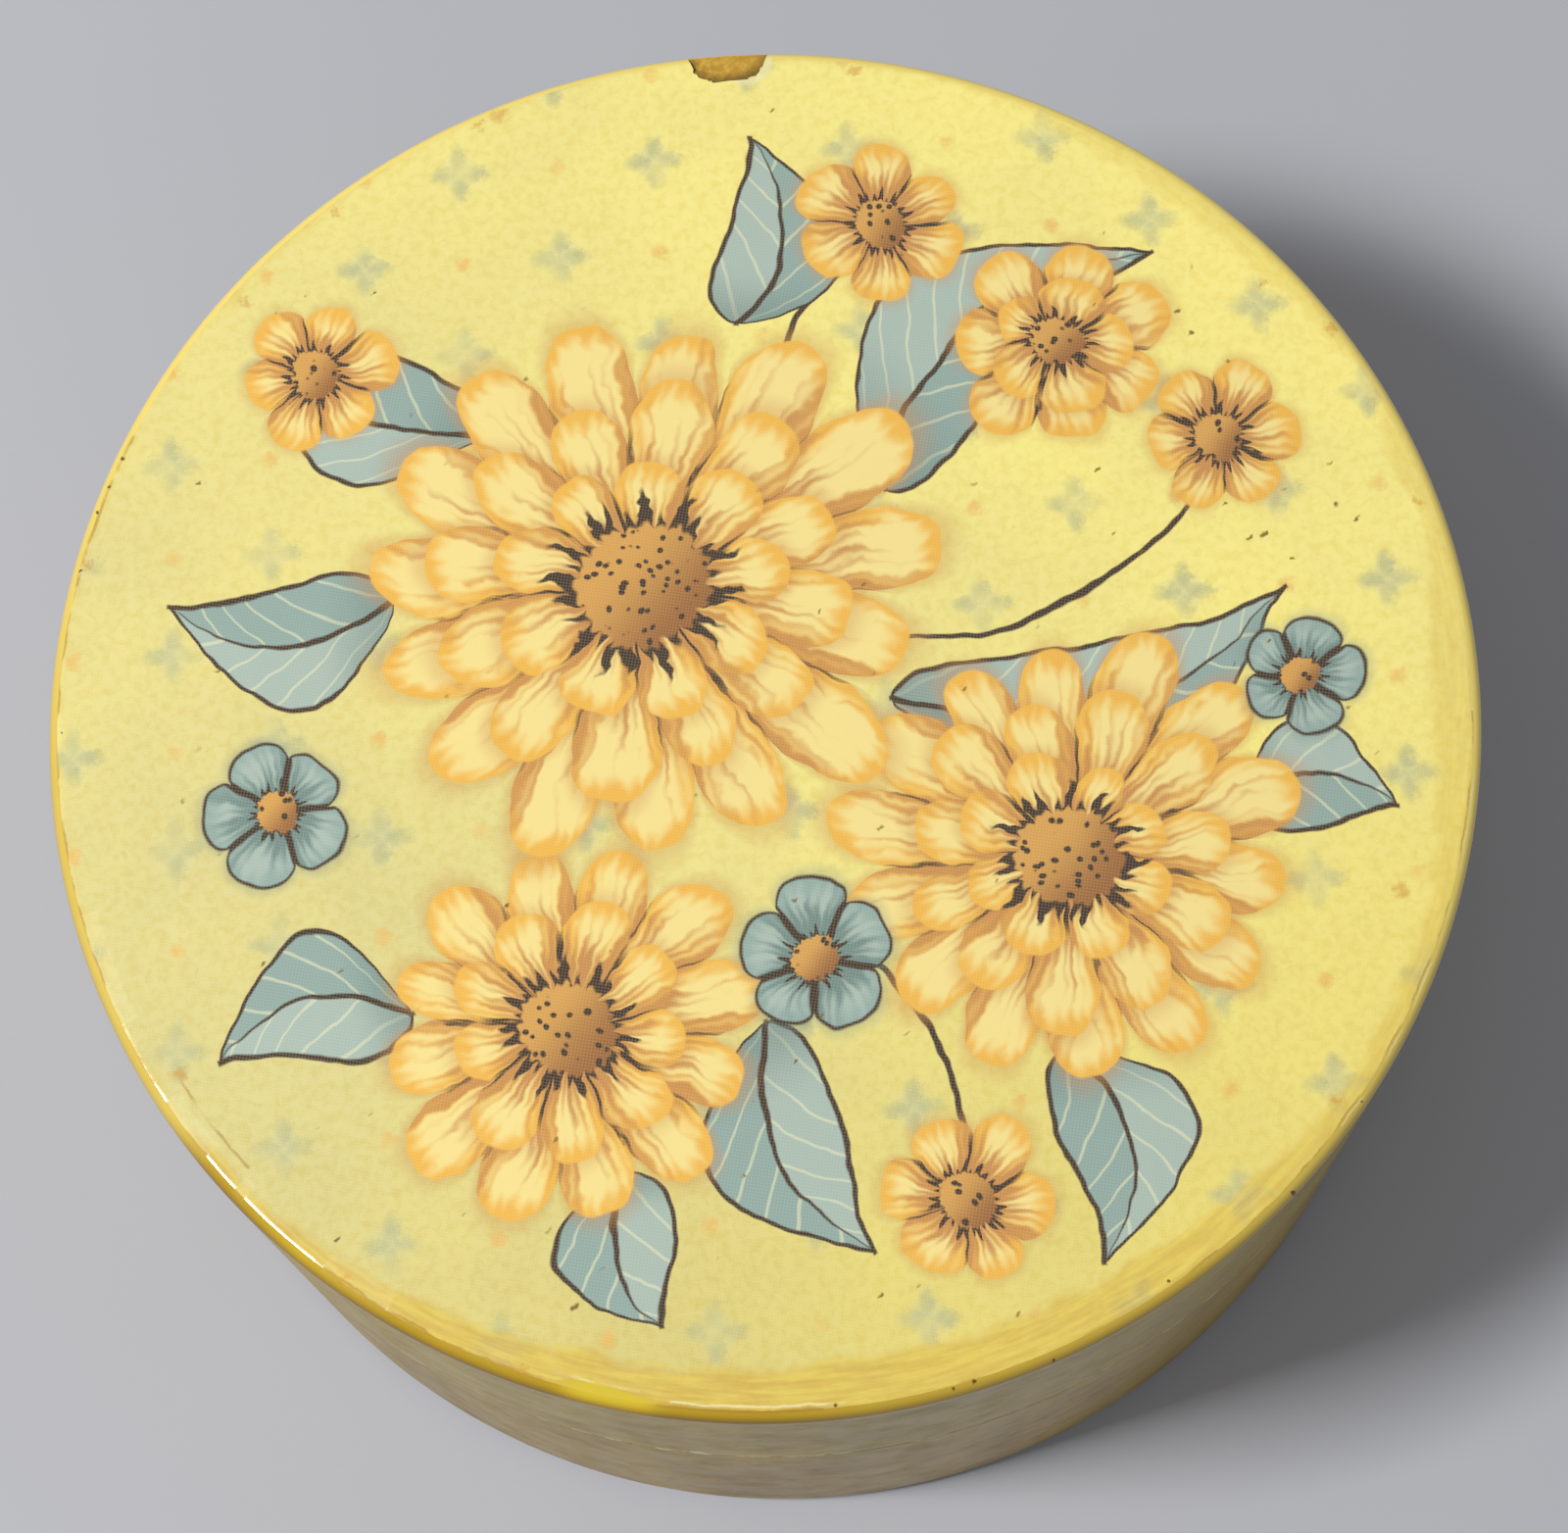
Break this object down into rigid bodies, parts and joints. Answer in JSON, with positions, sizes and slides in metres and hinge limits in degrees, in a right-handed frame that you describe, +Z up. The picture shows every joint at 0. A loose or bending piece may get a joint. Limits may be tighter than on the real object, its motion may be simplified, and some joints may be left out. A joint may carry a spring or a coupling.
{
  "type": "lidded trinket box",
  "caption": "Low round lacquered wooden box with a lift-off lid that slides over a raised inner neck and seats flush on the base's shoulder.",
  "frame": {"origin": "middle of the underside, on the surface that the box stands on", "axes": "+Z up along the box's upright axis, the way the lid lifts; +X and +Y level, with the pictured front towards -Y"},
  "size_m": [0.096, 0.096, 0.0508],
  "materials": {
    "yellow_lacquer": "gloss",
    "bare_board": "matte",
    "printed_paper": "gloss",
    "cream_paper": "matte",
    "gold_felt": "matte",
    "brown_felt": "matte"
  },
  "bodies": {
    "base": {"base_hoop": "yellow_lacquer", "base_floor_board": "bare_board", "neck_ring": "yellow_lacquer", "floor_lining": "gold_felt", "foot_felt": "brown_felt"},
    "lid": {"lid_hoop": "yellow_lacquer", "lid_top_board": "bare_board", "lid_print": "printed_paper", "lid_ceiling_lining": "cream_paper"}
  },
  "joints": [
    {"name": "lid_lift", "type": "slide", "parent": "base", "child": "lid", "axis": [0, 0, 1], "range_m": [0, 0.08]}
  ]
}
